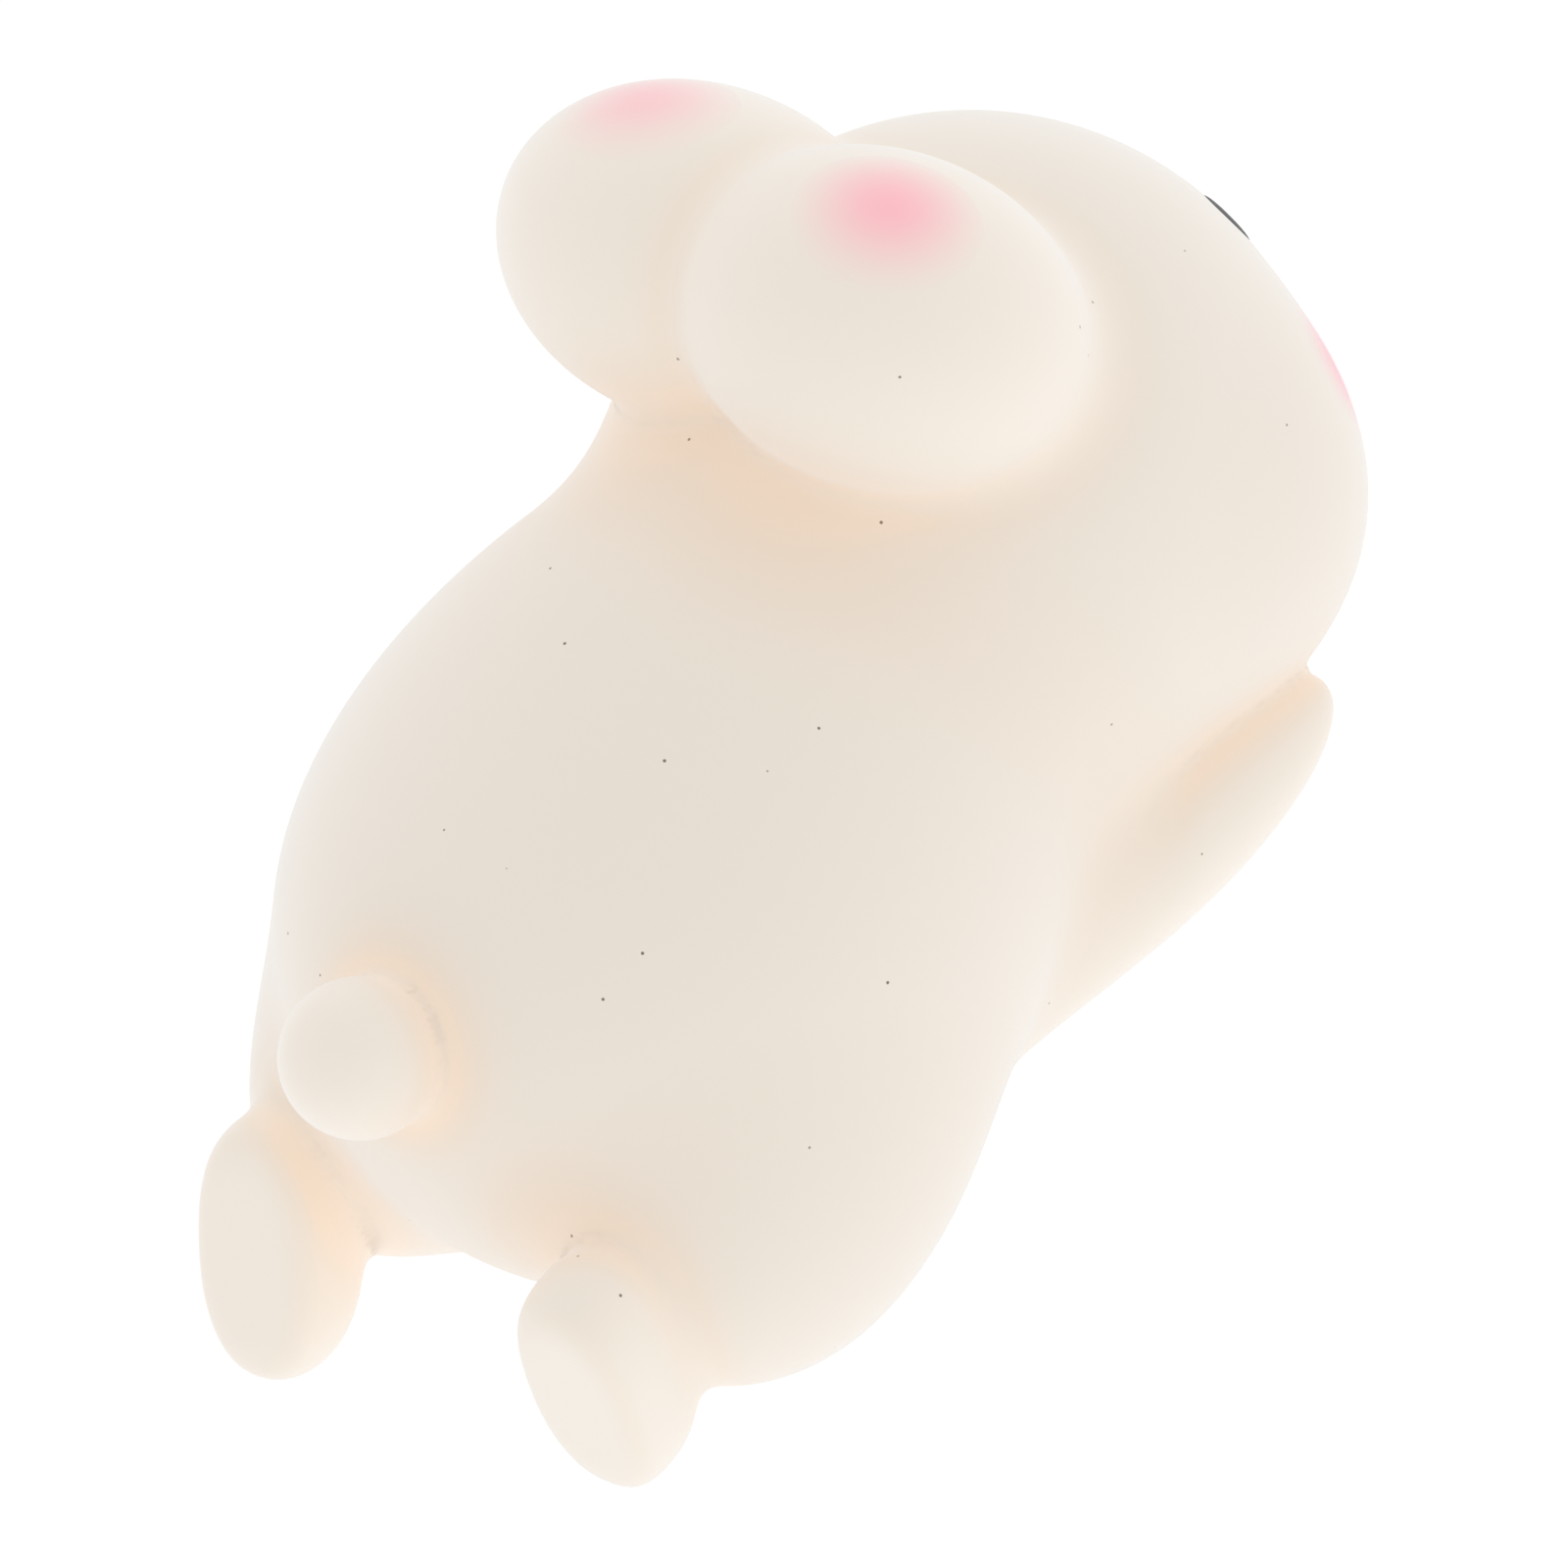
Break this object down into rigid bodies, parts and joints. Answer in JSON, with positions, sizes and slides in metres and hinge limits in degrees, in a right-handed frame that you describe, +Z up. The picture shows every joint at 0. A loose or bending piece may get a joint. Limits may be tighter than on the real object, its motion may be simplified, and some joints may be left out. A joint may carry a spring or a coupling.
{
  "type": "soft squeeze toy mouse",
  "caption": "Soft rubber squeeze toy in the shape of a mouse lying on its belly, with bending ears, head, arms, feet and tail.",
  "frame": {"origin": "centre of the footprint, on the plane that the toy rests on", "axes": "+Z up, nose towards -Y, tail towards +Y, the mouse's left side towards +X"},
  "size_m": [0.0256, 0.0456, 0.0296],
  "materials": {
    "skin": "matte, slightly powdery, light passes through thin edges",
    "eye_ink": "pad-printed black ink, semi-gloss",
    "nose_ink": "printed pink ink, satin",
    "blush_spray": "airbrushed pink, matte, soft edge"
  },
  "bodies": {
    "torso": {"torso": "skin", "haunch_left": "skin", "haunch_right": "skin"},
    "head": {"head": "skin", "eye_left": "eye_ink", "eye_right": "eye_ink", "nose": "nose_ink", "mouth": "eye_ink", "cheek_blush_left": "blush_spray", "cheek_blush_right": "blush_spray"},
    "ear_left": {"ear_left": "skin", "ear_blush_left": "blush_spray"},
    "ear_right": {"ear_right": "skin", "ear_blush_right": "blush_spray"},
    "arm_left": {"arm_left": "skin"},
    "arm_right": {"arm_right": "skin"},
    "foot_left": {"foot_left": "skin"},
    "foot_right": {"foot_right": "skin"},
    "tail": {"tail": "skin"}
  },
  "joints": [
    {"name": "neck_nod", "type": "hinge", "parent": "torso", "child": "head", "pos_m": [0, -0.0024, 0.0111], "axis": [1, 0, 0], "range_deg": [-5, 8], "stiffness_Nm_per_rad": 0.08},
    {"name": "ear_fold_left", "type": "hinge", "parent": "head", "child": "ear_left", "pos_m": [0.0028, -0.0094, 0.0199], "axis": [1, 0, 0], "range_deg": [-6, 12], "stiffness_Nm_per_rad": 0.006},
    {"name": "ear_fold_right", "type": "hinge", "parent": "head", "child": "ear_right", "pos_m": [-0.0028, -0.0094, 0.0199], "axis": [1, 0, 0], "range_deg": [-6, 12], "stiffness_Nm_per_rad": 0.006},
    {"name": "arm_spread_left", "type": "hinge", "parent": "torso", "child": "arm_left", "pos_m": [0.0064, 0.001, 0.0034], "axis": [0, 0, 1], "range_deg": [0, 15], "stiffness_Nm_per_rad": 0.004},
    {"name": "arm_spread_right", "type": "hinge", "parent": "torso", "child": "arm_right", "pos_m": [-0.0064, 0.001, 0.0034], "axis": [0, 0, -1], "range_deg": [0, 15], "stiffness_Nm_per_rad": 0.004},
    {"name": "foot_flap_left", "type": "hinge", "parent": "torso", "child": "foot_left", "pos_m": [0.0067, 0.0168, 0.0072], "axis": [1, 0, 0], "range_deg": [-10, 10], "stiffness_Nm_per_rad": 0.003},
    {"name": "foot_flap_right", "type": "hinge", "parent": "torso", "child": "foot_right", "pos_m": [-0.0067, 0.0168, 0.0072], "axis": [1, 0, 0], "range_deg": [-10, 10], "stiffness_Nm_per_rad": 0.003},
    {"name": "tail_wag", "type": "hinge", "parent": "torso", "child": "tail", "pos_m": [0, 0.0153, 0.0152], "axis": [0, 0, 1], "range_deg": [-15, 15], "stiffness_Nm_per_rad": 0.002}
  ]
}
